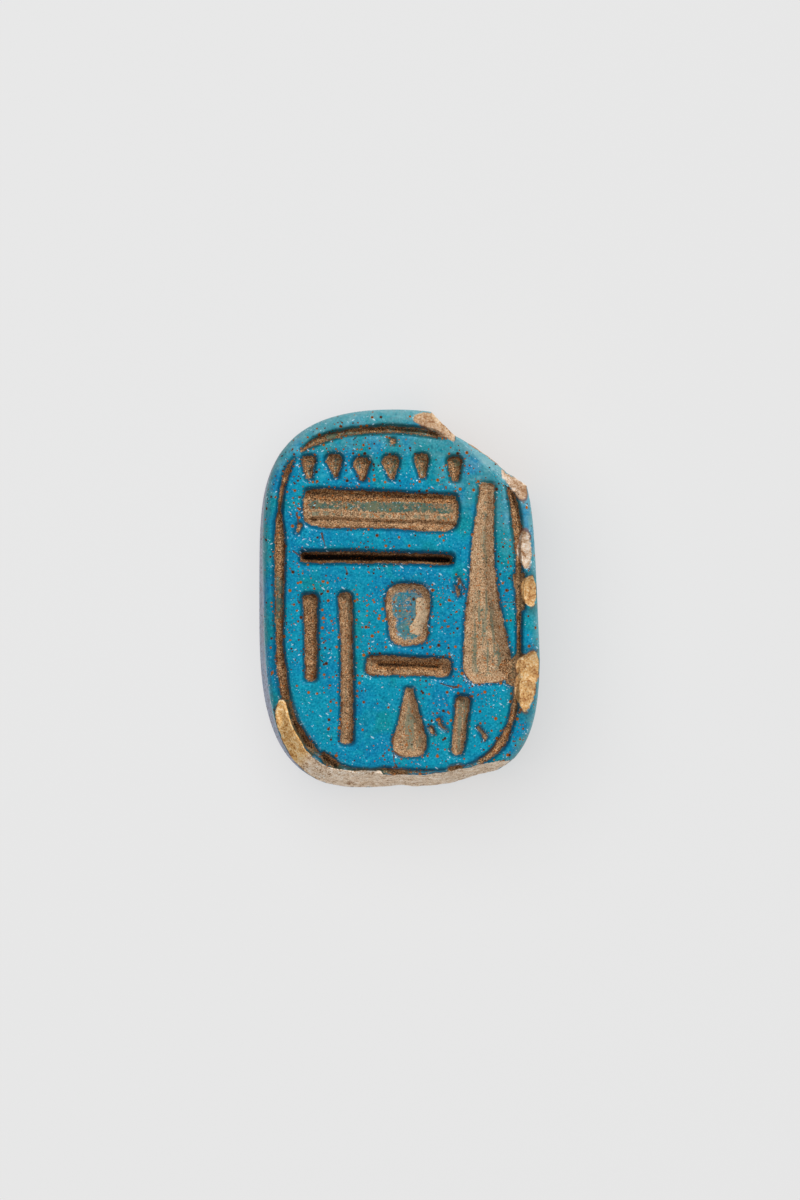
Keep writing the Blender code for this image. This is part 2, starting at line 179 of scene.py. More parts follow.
# The long chip follows the lower left rim between two directions. Its hollow is a tube whose
# axis stands off the rim and lifts above the face: out, up and radius at its start and its end.
LONG_CHIP_RUN = (215.5, 268)
LONG_CHIP_START = np.array([-0.46, 0.08, 0.53])
LONG_CHIP_END = np.array([1.344, 0.992, 2.60])
LONG_CHIP_SPREAD = (219, 238)   # the directions between which the start turns into the end
# What a chip took sinks towards this share of its distance from the hub, this deep in the body.
SINK_SHARE = 0.72
SINK_DEPTH = 2.2

# Mesh -----------------------------------------------------------------

FACE_CELLS = (212, 292)         # both multiples of four: the loop is halved twice on its way down
RIM_RINGS = 14
WALL_RINGS = 24
BASE_RINGS = 4
SEARCH_STEPS = 24
TINY = 1e-6


# Noise ----------------------------------------------------------------

def smooth(x):
    x = np.clip(x, 0.0, 1.0)
    return x * x * (3 - 2 * x)


def ramp(value, low, high):
    return smooth((value - low) / (high - low))


def lattice(cells, seed):
    """A fixed number between -1 and 1 for each whole-number cell."""
    mixed = (cells[..., 0] * 73856093) ^ (cells[..., 1] * 19349663) ^ (cells[..., 2] * 83492791)
    mixed = (mixed ^ (seed * 2654435761)) & 0xFFFFFFFF
    mixed = ((mixed ^ (mixed >> 16)) * 0x45D9F3B) & 0xFFFFFFFF
    mixed = ((mixed ^ (mixed >> 16)) * 0x45D9F3B) & 0xFFFFFFFF
    return (mixed ^ (mixed >> 16)) / 0x7FFFFFFF - 1


def lumps(points, size, seed):
    """Smooth noise between about -1 and 1 with lumps of a size."""
    scaled = points / size
    cells = np.floor(scaled).astype(np.int64)
    part = smooth(scaled - cells)
    total = np.zeros(len(points))
    for corner in np.ndindex(2, 2, 2):
        weight = np.prod(np.where(corner, part, 1 - part), axis=1)
        total += weight * lattice(cells + corner, seed)
    return total


def rough(points, size, seed, octaves=3):
    """Lumps upon lumps, each finer and lower than the last."""
    return sum(lumps(points, size / 2 ** i, seed + i) / 2 ** i for i in range(octaves))


def ripples(points, parts):
    return sum(height * lumps(points, size, seed) for height, size, seed in parts)


def lifted(plan):
    """Plan points as points at height zero."""
    return np.column_stack([plan, np.zeros(len(plan))])


def search(count, beyond, reach=1.0):
    """How far along its way, up to reach, each of count points goes before it lies beyond."""
    near, far = np.zeros(count), np.full(count, reach)
    for _ in range(SEARCH_STEPS):
        middle = (near + far) / 2
        past = beyond(middle)
        far = np.where(past, middle, far)
        near = np.where(past, near, middle)
    return near


# Outlines -------------------------------------------------------------

def quarter_terms(outline, ray):
    """Reach and exponent along X and along Y of the quarter that each plan vector points into."""
    right, up = ray[:, 0] >= 0, ray[:, 1] >= 0
    reach_x = np.where(right, outline["right"] - HUB[0], HUB[0] - outline["left"])
    reach_y = np.where(up, outline["head"] - HUB[1], HUB[1] - outline["foot"])
    powers = np.zeros((len(ray), 2))
    for side in ((-1, 1), (1, 1), (1, -1), (-1, -1)):
        here = (right == (side[0] > 0)) & (up == (side[1] > 0))
        powers[here] = outline[side]
    return reach_x, reach_y, powers[:, 0], powers[:, 1]


def outline_reach(outline, ray):
    """Distance from the hub to the outline along unit plan vectors."""
    reach_x, reach_y, power_x, power_y = quarter_terms(outline, ray)
    u, v = abs(ray[:, 0]) / reach_x, abs(ray[:, 1]) / reach_y
    return search(len(ray), lambda run: (run * u) ** power_x + (run * v) ** power_y > 1, HIGH[1] - LOW[1])


def outline_distance(outline, plan):
    """Distance to an outline, positive outside, true close to the line."""
    ray = plan - HUB
    reach_x, reach_y, power_x, power_y = quarter_terms(outline, ray)
    u = np.maximum(abs(ray[:, 0]) / reach_x, TINY)
    v = np.maximum(abs(ray[:, 1]) / reach_y, TINY)
    level = u ** power_x + v ** power_y
    slope = np.hypot(power_x * u ** (power_x - 1) / reach_x, power_y * v ** (power_y - 1) / reach_y)
    return (level - 1) / np.maximum(slope, TINY)


def direction_of(plan):
    """Direction from the hub in degrees, 0 to 360 anticlockwise from +X."""
    ray = plan - HUB
    return np.degrees(np.arctan2(ray[:, 1], ray[:, 0])) % 360


def facing(plan, direction):
    """1 for plan points in a direction from the hub, 0 beside it and -1 on the far side."""
    return np.cos(np.radians(direction_of(plan) - direction))


def lean(plan):
    """How far the top of the wall stands inside its foot."""
    share = np.maximum(0, (HUB[0] - plan[:, 0]) / (HUB[0] - OUTLINE["left"]))
    return share ** 2 * np.maximum(0, LEAN - LEAN_GROWTH * plan[:, 1])


def taper(plan):
    """How far the whole wall is drawn in on the right."""
    share = np.maximum(0, (plan[:, 0] - HUB[0]) / (OUTLINE["right"] - HUB[0]))
    return share ** 2 * TAPER * np.maximum(0, plan[:, 1] - TAPER_START)


def along_x(shift):
    """Plan vectors along X."""
    return np.column_stack([shift, np.zeros(len(shift))])


# Losses ---------------------------------------------------------------

def plane_terms(line, height, slope):
    """A point on a break and its outward normal."""
    start, end = np.array(line[0]), np.array(line[1])
    along = (end - start) / np.linalg.norm(end - start)
    tilt = math.radians(slope)
    normal = np.array([along[1] * math.cos(tilt), -along[0] * math.cos(tilt), math.sin(tilt)])
    return np.array([*(start + end) / 2, height]), normal


def past_plane(points, line, height, slope, roughness, seed):
    """How far points lie past a rough break."""
    place, normal = plane_terms(line, height, slope)
    relief = roughness * rough(points, 1.3, seed) + 0.35 * roughness * lumps(points, 0.3, seed + 7)
    return (points - place) @ normal + relief


def past_full_breaks(points):
    """How far points lie past the nearest break that goes through the whole thickness."""
    foot = np.max([past_plane(points, *plane, 10 * seed) for seed, plane in enumerate(FOOT_BREAKS)], axis=0)
    rise = np.clip((points[:, 2] - (TOP - CROWN - LIP_ROUND)) / LIP_ROUND, 0, 1)
    middle, half_length, out = LIP_BULGE
    bulge = out * np.maximum(0, 1 - ((points[:, 0] - middle) / half_length) ** 2)
    lip = past_plane(points, *HEAD_LIP, 20) + LIP_ROUND * (1 - np.sqrt(1 - rise ** 2)) - bulge
    return np.maximum(foot, np.minimum(lip, past_plane(points, *HEAD_BREAK, 30)))


def past_chips(points):
    """How far points lie inside the chips that take only part of the rim: positive inside."""
    plan = points[:, :2]
    found = []
    for seed, (facet, side, limit) in enumerate(FACETS.values()):
        bound = side * (plan[:, 0] - limit) + 0.1 * lumps(points, 0.6, 55)
        found.append(np.minimum(past_plane(points, *facet, 60 + 20 * seed), bound))
    for seed, ((x, y, rise), radii) in enumerate(RIM_CHIPS.values()):
        offset = (points - (x, y, TOP + rise)) / radii
        reach = 1 + 0.16 * lumps(points, 0.8, 70 + seed) + 0.06 * lumps(points, 0.4, 80 + seed)
        found.append((reach - np.linalg.norm(offset, axis=1)) * min(radii))
    direction = direction_of(plan)
    start, end = LONG_CHIP_RUN
    spread = ramp(direction, *LONG_CHIP_SPREAD)[:, None]
    out_up_radius = (1 - spread) * LONG_CHIP_START + spread * LONG_CHIP_END
    fade_in, fade_out = ramp(direction, start, start + 5), ramp(direction, end - 4, end + 6)
    out = outline_distance(OUTLINE, plan - along_x(lean(plan)))
    away = np.hypot(out - out_up_radius[:, 0], points[:, 2] - TOP - out_up_radius[:, 1])
    grain = 0.09 * rough(points, 0.9, 90, 2) + 0.02 * lumps(points, 0.3, 95)
    found.append(out_up_radius[:, 2] - 0.45 * (1 - fade_in) - 3 * fade_out - away + grain * fade_in)
    return np.max(found, axis=0)


def clamp_to_breaks(points):
    """Pull points level towards the hub until they're on the full breaks. Also: which ones moved."""
    moved = past_full_breaks(points) > 0
    centre = np.column_stack([np.tile(HUB, (moved.sum(), 1)), points[moved, 2]])
    way = points[moved] - centre
    share = search(len(way), lambda share: past_full_breaks(centre + way * share[:, None]) > 0)
    clamped = points.copy()
    clamped[moved] = centre + way * share[:, None]
    return clamped, moved


def sink_into_chips(points):
    """Move points inwards and down until they lie on the chips' surfaces."""
    inside = past_chips(points) > 0
    start = points[inside]
    goal = HUB + SINK_SHARE * (start[:, :2] - HUB)
    way = np.column_stack([goal, np.full(len(goal), TOP - SINK_DEPTH)]) - start
    share = search(len(way), lambda share: past_chips(start + way * share[:, None]) <= 0)
    sunk = points.copy()
    sunk[inside] = start + way * share[:, None]
    return sunk


# Carving --------------------------------------------------------------

FAR = 9.0                       # a distance that stands for nowhere near


def groove_profile(inward, glazed_wall, wall):
    """Depth of a groove, 0 to 1, at a distance inside its edge: a slope from rim to floor."""
    return ramp(inward, -glazed_wall, wall)


def stroke_inward(plan, stroke):
    """Distance inside a tapering stroke with blunt ends."""
    start, end = np.array(stroke.start), np.array(stroke.end)
    length = np.linalg.norm(end - start)
    along = (end - start) / length
    side = np.array([-along[1], along[0]])
    offset = plan - start
    run, off = offset @ along, offset @ side
    straight = length - (stroke.width_start + stroke.width_end) / 2
    share = np.clip((run - stroke.width_start / 2) / straight, 0, 1)
    off = off - stroke.bend * 4 * share * (1 - share)
    past_end = run - stroke.width_start / 2 - share * straight
    half_width = (stroke.width_start + (stroke.width_end - stroke.width_start) * share ** stroke.flare) / 2
    blunt = 3.0
    return half_width - (abs(past_end) ** blunt + abs(off) ** blunt) ** (1 / blunt)


def line_distance(plan, start, end):
    """Distance to a straight plan line, wavering a little."""
    start, end = np.array(start), np.array(end)
    waver = 0.05 * lumps(lifted(plan), 0.3, 8)[:, None]
    share = np.clip((plan - start) @ (end - start) / np.sum((end - start) ** 2), 0, 1)
    return np.linalg.norm(plan + waver - start - share[:, None] * (end - start), axis=1)


def border_state(plan):
    """The border line's half width, how buried it is, and its earth's pale and glazed."""
    places = lifted(plan)
    right, head, foot, shoulder, chips = (facing(plan, turn) for turn in BORDER_TURNS)
    buried = ramp(foot, 0.80, 0.88) * ramp(lumps(places, 0.7, 16), -0.4, 0.4)
    width = BORDER_HALF_WIDTH * (1 - 0.35 * ramp(right, 0.5, 0.95) - 0.35 * ramp(head, 0.7, 0.86))
    width *= (1 - 0.4 * ramp(right, 0.96, 0.985)) * (1 - 0.45 * ramp(shoulder, 0.965, 0.985))
    width *= (0.95 + 0.15 * lumps(places, 1.9, 12)) * (1 - 0.6 * buried)
    worn = 0.6 * ramp(lumps(places, 2.4, 13), 0.0, 0.6) * ramp(chips, 0.85, 0.7)
    # At the head the glaze shows olive through the line's earth: painted shade of the groove's upper wall.
    glazed = np.max([worn, 0.75 * buried, 0.5 * ramp(head, 0.955, 0.985)], axis=0)
    return width, buried, 0.25 - 0.4 * ramp(head, 0.8, 0.9), glazed


def carve(plan):
    """The carving at plan points: its depth in millimetres and what the earth and glaze follow."""
    facts = {name: np.zeros(len(plan)) for name in ("depth", "middle", "pale", "glazed")}
    facts["inward"] = np.full(len(plan), -FAR)
    wobble = ripples(lifted(plan), EDGE_RIPPLES)

    def cut(inward, half_width, profile, depth, pale, glazed):
        facts["inward"] = np.maximum(facts["inward"], inward)
        facts["depth"] = np.maximum(facts["depth"], depth * profile)
        for name, value in (("middle", inward / half_width), ("pale", pale), ("glazed", glazed)):
            facts[name] = np.where(inward > -0.05, value, facts[name])

    for strokes, glazed_wall, waver in ((STROKES.values(), GLAZED_WALL, 1.0), (NICKS, NICK_WALL, 2.2)):
        for stroke in strokes:
            inward = stroke_inward(plan, stroke) + waver * wobble
            half_width = max(stroke.width_start, stroke.width_end) / 2
            profile = groove_profile(inward, glazed_wall, stroke.wall)
            # A negative pale is painted shade, darkest towards the middle of the groove, where it is deepest.
            pale = stroke.pale * (ramp(inward / half_width, 0.15, 0.8) if stroke.pale < 0 else 1)
            cut(inward, half_width, profile, stroke.depth, pale, stroke.glazed)

    off_line = abs(outline_distance(BORDER, plan))
    width, buried, pale, glazed = border_state(plan)
    for start, end in BORDER_RUNS:
        turn = (direction_of(plan) - start) % 360
        run = end - start
        fade = ramp(turn, 0, 7) * (1 - ramp(turn, run - 5, run)) * (turn < run)
        inward = width * (0.3 + 0.7 * fade) - off_line + wobble
        profile = groove_profile(inward, BORDER_WALL, BORDER_WALL) * fade * (1 - 0.5 * buried)
        cut(np.where(fade > 0.1, inward, -FAR), width, profile, BORDER_DEPTH, pale, glazed)

    facts["depth"] += SHOULDER_DROP * ramp(facts["inward"], -SHOULDER, -0.05)
    facts["depth"] += ripples(lifted(plan), FLOOR_RIPPLES) * ramp(facts["inward"], -0.05, 0.1)
    return facts


# The surface ----------------------------------------------------------

def face_height(plan):
    """Height of the uncarved face: a slight crown and the waviness of pressed, glazed faience."""
    across = (plan[:, 0] / HIGH[0]) ** 2
    along = (plan[:, 1] / HIGH[1]) ** 2
    return TOP - FACE_DROP - CROWN / 2 * (across + along) + ripples(lifted(plan), GLAZE_RIPPLES)


def square_loop(cells_x, cells_y):
    """The boundary of the unit square's grid, anticlockwise from its lower left corner."""
    bottom = [(i, 0) for i in range(cells_x)]
    right = [(cells_x, j) for j in range(cells_y)]
    top = [(i, cells_y) for i in range(cells_x, 0, -1)]
    left = [(0, j) for j in range(cells_y, 0, -1)]
    return np.array(bottom + right + top + left)


def grid_points(cells_x, cells_y, rim):
    """Plan points of a grid that fills a closed rim; rim is the plan loop, in square_loop order."""
    i, j = np.meshgrid(np.arange(cells_x + 1), np.arange(cells_y + 1), indexing="ij")
    square = np.column_stack([2 * i.ravel() / cells_x - 1, 2 * j.ravel() / cells_y - 1])
    out = np.maximum(abs(square).max(axis=1), TINY)[:, None]
    edge = square / out
    loop = 2 * square_loop(cells_x, cells_y) / (cells_x, cells_y) - 1
    turn, loop_turn = (np.arctan2(part[:, 1], part[:, 0]) for part in (edge, loop))
    on_rim = np.column_stack([np.interp(turn, loop_turn, part, period=math.tau) for part in rim.T])
    middle = rim.mean(axis=0)
    flat = edge * np.ptp(rim, axis=0) / 2
    return middle + out * ((1 - out) * flat + out * (on_rim - middle))


class Surface:
    """Vertices and faces of the plaque as they are laid down, ring by ring."""

    def __init__(self):
        self.points, self.faces = [], []
        self.count = 0

    def add(self, points):
        self.points.append(points)
        numbers = np.arange(self.count, self.count + len(points))
        self.count += len(points)
        return numbers

    def band(self, upper, lower):
        """Quads between two loops of equal length, facing outwards."""
        self.faces += np.column_stack([upper, lower, np.roll(lower, -1), np.roll(upper, -1)]).tolist()

    def reducing_band(self, upper, lower):
        """Faces from a loop down to one with half as many points."""
        even, odd, following = upper[::2], upper[1::2], np.roll(upper[::2], -1)
        self.faces += np.column_stack([even, lower, odd]).tolist()
        self.faces += np.column_stack([odd, lower, np.roll(lower, -1), following]).tolist()

    def grid(self, numbers, cells, up):
        """Quads of a grid of vertex numbers."""
        table = numbers.reshape(cells[0] + 1, cells[1] + 1)
        corners = [table[:-1, :-1], table[1:, :-1], table[1:, 1:], table[:-1, 1:]]
        if not up:
            corners.reverse()
        self.faces += np.column_stack([corner.ravel() for corner in corners]).tolist()


class Builder:
    """Lays carved rings and grids on the surface, and keeps the facts about every point."""

    def __init__(self):
        self.surface = Surface()
        self.facts = []

    def lay(self, points, normal, sheet, broken, side=0.0, wall=0.0, squash=None):
        """Add points, carved along their normals. sheet is their place on the unrolled skin.

        squash is the height of those on a break, under the face's carved edge.
        """
        plan = points[:, :2]
        found = carve(plan)
        near_face = ramp(points[:, 2], TOP - RIM_ROUND - CARVING_FADE, TOP - RIM_ROUND)
        carving = np.where(broken, 0, near_face)
        carved = points - normal * (found.pop("depth") * carving)[:, None]
        if squash is not None:
            carved[:, 2] = np.where(broken, squash, carved[:, 2])
        found["inward"] = np.where(carving > 0.5, np.clip(found["inward"], -1, 2), -1.0)
        found["crack"] = np.min([line_distance(plan, *line) for line in CRACKS], axis=0)
        found["crack"] = np.where(points[:, 2] < TOP / 2, FAR, found["crack"])
        found["wall"] = np.full(len(points), wall)
        found["bleach_and_rim_light"] = pale_wear_and_rim_light(points, side)
        found["wall_grey"] = wall_greyness(points)
        found["past"] = np.maximum(past_chips(points), np.where(broken, bare_break(points), -FAR))
        found["ochre"] = ochre_stain(points)
        found["soil"] = soil(plan, broken)
        found["grime"] = grime(plan)
        found["sheet_x"], found["sheet_y"] = sheet[:, 0], sheet[:, 1]
        self.facts.append(found)
        return self.surface.add(carved)

    def result(self):
        """All points, sunk where chips took the glaze, the faces and the facts."""
        points = np.concatenate(self.surface.points)
        names = self.facts[0].keys()
        facts = {name: np.concatenate([part[name] for part in self.facts]) for name in names}
        return sink_into_chips(points), self.surface.faces, facts


def pale_wear_and_rim_light(points, side):
    """How pale and grey the glaze is, 0 to 1: worn paler on the face towards the head and on the lip,
    and with painted light on the rim, most on its sides towards the head and the right, where light falls.
    """
    head, right = facing(points[:, :2], 105), facing(points[:, :2], -32)
    # Painted light: the rim and walls are paler on the sides that face the light, towards the head and the
    # right.
    rim = side * (0.08 + 0.66 * np.maximum(head, 0) + 0.66 * np.maximum(right, 0))
    x, y = points[:, 0], points[:, 1]
    top = 0.42 * np.maximum(ramp(y, 5.2, 9.0), ramp(x + y, 5.4, 10.4)) * (1 - side)
    lip = 0.7 * ramp(past_plane(points, *HEAD_LIP, 20), -0.9, -0.1) * (y > 3)
    return np.clip(np.maximum(rim + top, lip), 0, 1)


def wall_greyness(points):
    """How much of a wall is lilac grey, 0 to 1: most on the left."""
    return 0.3 + 0.7 * ramp(facing(points[:, :2], 180), -0.1, 0.45)


def grime(plan):
    """How grimy the glaze beside a chip is, 0 to 1: at the foot, and less on the right."""
    right = 0.5 * ramp(plan[:, 0], 5.0, 5.8) * ramp(plan[:, 1], 1.6, 1.4)
    return np.maximum(ramp(plan[:, 1], -4.6, -5.6) * ramp(plan[:, 0], 3.0, 2.0), right)


def soil(plan, broken):
    """How soiled the bare core is, 0 to 1: on the breaks at the head, and in the chips on the right."""
    head = ramp(plan[:, 1], 4.0, 5.0)
    return np.where(broken, 0.5 * head, 0.42 * (plan[:, 0] > 0) + 0.3 * head)


def ochre_stain(points):
    """How yellow the bare core is, 0 to 1: the old chips at the lower left and on the right."""
    x, y = points[:, 0], points[:, 1]
    lower_left = ramp(x, -4.0, -5.4) * ramp(y, -9.4, -6.6) * ramp(y, -4.0, -4.8)
    right = 0.8 * ramp(x, 5.6, 6.1) * ramp(y, 1.6, 1.4) * ramp(y, -6.6, -6.0)
    head = 0.14 * ramp(y, 4.0, 5.0)
    return np.max([lower_left, right, head], axis=0)


def bare_break(points):
    """How far the core is bare on a full break: all of it, but for the lip at the head."""
    below_lip = TOP - 0.55 - points[:, 2] + 0.1 * lumps(points, 0.8, 17)
    on_lip = (points[:, 0] > HEAD_NOTCH_X) & (points[:, 1] > 0)
    return np.where(on_lip, np.minimum(below_lip, 1.0), 1.0)


def plaque_surface():
    """Points, faces and facts of the whole plaque, from the face down to the back."""
    cells_x, cells_y = FACE_CELLS
    loop = square_loop(cells_x, cells_y)
    square = 2 * loop / FACE_CELLS - 1
    ray = square * (HIGH[:2] - RIM_ROUND)
    ray = ray / np.linalg.norm(ray, axis=1)[:, None]

    foot_rim = HUB + ray * outline_reach(OUTLINE, ray)[:, None]
    wall_top = foot_rim + along_x(lean(foot_rim) - taper(foot_rim))
    foot_rim = foot_rim - along_x(taper(foot_rim))
    tangent = np.roll(wall_top, -1, axis=0) - np.roll(wall_top, 1, axis=0)
    inwards = np.column_stack([-tangent[:, 1], tangent[:, 0]])
    inwards /= np.linalg.norm(inwards, axis=1)[:, None]

    # The face's own edge, where the rounded rim begins or a break cuts it off.
    edge_sheet = wall_top + inwards * RIM_ROUND
    height = face_height(edge_sheet)
    edge, _ = clamp_to_breaks(np.column_stack([edge_sheet, height]))
    edge_depth = carve(edge[:, :2])["depth"]

    builder = Builder()
    surface = builder.surface

    # The face.
    plan = grid_points(cells_x, cells_y, edge[:, :2])
    face = np.column_stack([plan, face_height(plan)])
    up = np.tile([0.0, 0.0, 1.0], (len(face), 1))
    numbers = builder.lay(face, up, plan, np.zeros(len(face), bool))
    surface.grid(numbers, FACE_CELLS, up=True)
    upper = numbers[loop[:, 0] * (cells_y + 1) + loop[:, 1]]

    # The rounded rim.
    for ring in range(1, RIM_RINGS + 1):
        turn = math.pi / 2 * ring / RIM_RINGS
        plan = wall_top + inwards * RIM_ROUND * (1 - math.sin(turn))
        points = np.column_stack([plan, height - RIM_ROUND * (1 - math.cos(turn))])
        points, moved = clamp_to_breaks(points)
        normal = np.column_stack([-inwards * math.sin(turn), np.full(len(plan), math.cos(turn))])
        above = points[:, 2] - (height - RIM_ROUND)
        squash = height - RIM_ROUND + above * (1 - edge_depth / RIM_ROUND)
        sheet = edge_sheet - inwards * RIM_ROUND * turn
        lower = builder.lay(points, normal, sheet, moved, side=ring / RIM_RINGS, squash=squash)
        surface.band(upper, lower)
        upper = lower

    # The wall, from every second point.
    wall_top, foot_rim, inwards, height, sheet = (
        part[::2] for part in (wall_top, foot_rim, inwards, height, sheet))
    outwards = np.column_stack([-inwards, np.zeros(len(inwards))])
    wall_height = TOP - RIM_ROUND - BASE_ROUND
    for ring in range(1, WALL_RINGS + 1):
        share = ring / WALL_RINGS
        plan = wall_top + (foot_rim - wall_top) * share
        points = np.column_stack([plan, (height - RIM_ROUND) * (1 - share) + BASE_ROUND * share])
        swell = ripples(points, WALL_RIPPLES) - WALL_HOLLOW
        points = points + outwards * (swell * math.sin(math.pi * share))[:, None]
        points, moved = clamp_to_breaks(points)
        down = sheet - inwards * wall_height * share
        lower = builder.lay(points, outwards, down, moved, side=1.0, wall=share)
        (surface.reducing_band if ring == 1 else surface.band)(upper, lower)
        upper = lower

    # The rounded edge of the back, from every fourth point, and the flat back.
    foot_rim, inwards, outwards, down = (part[::2] for part in (foot_rim, inwards, outwards, down))
    for ring in range(1, BASE_RINGS + 1):
        turn = math.pi / 2 * ring / BASE_RINGS
        plan = foot_rim + inwards * BASE_ROUND * (1 - math.cos(turn))
        points = np.column_stack([plan, np.full(len(plan), BASE_ROUND * (1 - math.sin(turn)))])
        points, moved = clamp_to_breaks(points)
        if ring == BASE_RINGS:
            rim = points[:, :2]
            break
        under = down - inwards * BASE_ROUND * turn
        lower = builder.lay(points, outwards, under, moved, side=1.0, wall=1.0)
        (surface.reducing_band if ring == 1 else surface.band)(upper, lower)
        upper = lower
    back_cells = (cells_x // 4, cells_y // 4)
    plan = grid_points(*back_cells, rim)
    back = np.column_stack([plan, np.zeros(len(plan))])
    numbers = builder.lay(back, -np.tile([0.0, 0.0, 1.0], (len(back), 1)), plan, np.zeros(len(back), bool))
    surface.grid(numbers, back_cells, up=False)
    loop = square_loop(*back_cells)
    surface.band(upper, numbers[loop[:, 0] * (back_cells[1] + 1) + loop[:, 1]])
    return builder.result()


def plaque_mesh():
    points, faces, facts = plaque_surface()
    mesh = bpy.data.meshes.new("plaque_surface")
    mesh.from_pydata((points * MM).tolist(), [], faces)
    mesh.shade_smooth()
    for name, values in facts.items():
        attribute = mesh.attributes.new(name, 'FLOAT', 'POINT')
        attribute.data.foreach_set("value", values.astype(np.float32))
    mesh.update()
    return mesh


# Material -------------------------------------------------------------

# Display colours, 0 to 255.
GLAZE_DARK = (0, 82, 116)
GLAZE_BLUE = (0, 124, 167)
GLAZE_TURQUOISE = (0, 139, 168)
GLAZE_BRIGHT = (0, 158, 184)
GLAZE_GREEN = (6, 136, 140)
GLAZE_FROSTED = (64, 182, 206)
# Pale grey glaze: where worn paler, and painted light on the rim.
GLAZE_BLEACHED_AND_LIT = (124, 166, 172)
# Olive worn glaze; at the head's border line also painted shade.
GLAZE_WORN_AND_SHADED = (66, 92, 70)
GLAZE_STAINED = (130, 122, 86)
# Darker blue and green on the slopes into the grooves: partly pooled glaze, partly painted shade.
POOLED_AND_SHADED_BLUE = (0, 64, 92)
POOLED_AND_SHADED_GREEN = (0, 64, 64)
WALL_GREY = (172, 172, 190)
WALL_GREY_PITS = (66, 64, 78)
# Pale flecks: partly scratches, partly painted glints.
FLECK_AND_GLINT = (186, 212, 226)
HOLE_ORANGE = (168, 90, 4)
HOLE_BROWN = (84, 44, 10)
HOLE_MIDDLE = (50, 20, 10)
# Painted shade: black for the earth in deep, narrow grooves.
EARTH_PAINTED_SHADE = (16, 10, 6)
# Painted highlight: cream for earth whose pale is over 1.
EARTH_PAINTED_HIGHLIGHT = (214, 192, 160)
EARTH_GREEN = (116, 122, 102)
EARTH_ORANGE = (176, 94, 20)
EARTH_SOOT = (44, 26, 14)
# Dark rusty brown for the earth's edges: partly rust, partly painted shade under the walls.
EARTH_EDGE_RUST_AND_SHADE = (82, 46, 22)
CORE_SOIL = (140, 100, 68)
RUST = (120, 62, 34)
GRIME = (36, 62, 50)
# Grains, from their darkest to their lightest: how far along the noise, and the colour there.
BROWN_GRAINS = ((0.39, (34, 20, 9)), (0.46, (100, 66, 38)), (0.54, (160, 114, 70)), (0.64, (228, 182, 132)))
TAN_GRAINS = ((0.35, (84, 56, 36)), (0.43, (156, 120, 84)), (0.54, (192, 158, 122)), (0.67, (228, 204, 172)))
WHITE_GRAINS = ((0.40, (150, 108, 76)), (0.46, (220, 192, 160)), (0.54, (242, 220, 196)),
                (0.63, (255, 248, 236)))
OCHRE_GRAINS = ((0.39, (150, 88, 38)), (0.45, (218, 162, 92)), (0.54, (242, 200, 136)),
                (0.63, (252, 230, 190)))

# Spots in the glaze, in millimetres: their pitch and radius, and the stretch and turn of the flecks and
# painted glints.
LARGE_HOLES = (0.46, 0.068)
SMALL_HOLES = (0.27, 0.050)
FLECK_AND_GLINT_SIZES = ((0.28, 0.029, 3.2, -0.6), (0.31, 0.028, 2.4, 0.5), (0.18, 0.023, 1.0, 0.0))
RELIEF = 0.03                   # millimetres of bump


def srgb(red, green, blue):
    """A display colour, 0 to 255, as the linear colour that a shader takes."""
    def linear(value):
        value /= 255
        return value / 12.92 if value <= 0.04045 else ((value + 0.055) / 1.055) ** 2.4
    return (linear(red), linear(green), linear(blue), 1)


def set_inputs(node, values):
    for name, value in values.items():
        node.inputs[name].default_value = value


